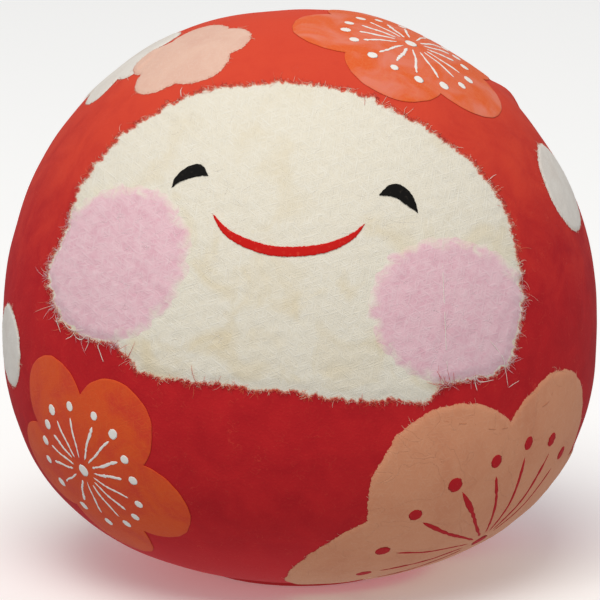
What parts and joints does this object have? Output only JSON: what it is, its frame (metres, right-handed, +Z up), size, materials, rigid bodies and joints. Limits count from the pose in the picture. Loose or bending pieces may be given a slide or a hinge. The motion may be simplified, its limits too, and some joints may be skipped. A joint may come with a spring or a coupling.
{
  "type": "daruma doll",
  "caption": "Round papier-mache daruma doll with a weighted flat foot, covered in red kozo paper and dressed with a torn paper face, cheeks, eyes, smile and plum blossoms.",
  "frame": {"origin": "centre of the flat face that the doll stands on", "axes": "+Z up along the body's axis; the face looks along -Y, and +X is on the viewer's right"},
  "size_m": [0.13, 0.1311, 0.1225],
  "materials": {
    "pulp": "moulded paper pulp, dry and rough",
    "kraft": "pasted brown paper strip",
    "clay": "air-dried clay, matte",
    "red_paper": "red dyed kozo paper, pasted and matte",
    "base_card": "red card, matte",
    "cream_paper": "thick undyed kozo paper with a torn, felted edge",
    "pink_paper": "pink dyed kozo paper with a torn, felted edge",
    "black_paper": "black dyed paper, matte, cut",
    "mouth_paper": "red dyed paper, matte, torn",
    "orange_paper": "orange printed paper, cut, with white stamens",
    "peach_paper": "peach kozo paper, torn, with red stamens",
    "white_paper": "undyed white kozo paper, torn"
  },
  "bodies": {
    "root": {"core_front_half": "pulp", "core_back_half": "pulp", "core_joint_strip": "kraft", "ballast_weight": "clay", "red_sheet_front": "red_paper", "red_sheet_right": "red_paper", "red_sheet_back": "red_paper", "red_sheet_left": "red_paper", "base_disc": "base_card", "face_sheet": "cream_paper", "cheek_left": "pink_paper", "cheek_right": "pink_paper", "eye_left": "black_paper", "eye_right": "black_paper", "mouth": "mouth_paper", "plum_orange_left": "orange_paper", "plum_orange_top": "orange_paper", "plum_peach_right": "peach_paper", "plum_white_top": "white_paper", "plum_peach_top": "peach_paper", "petal_white_right": "white_paper", "petal_white_left": "white_paper", "plum_orange_back": "orange_paper", "plum_white_back": "white_paper", "plum_peach_back": "peach_paper"}
  },
  "joints": []
}
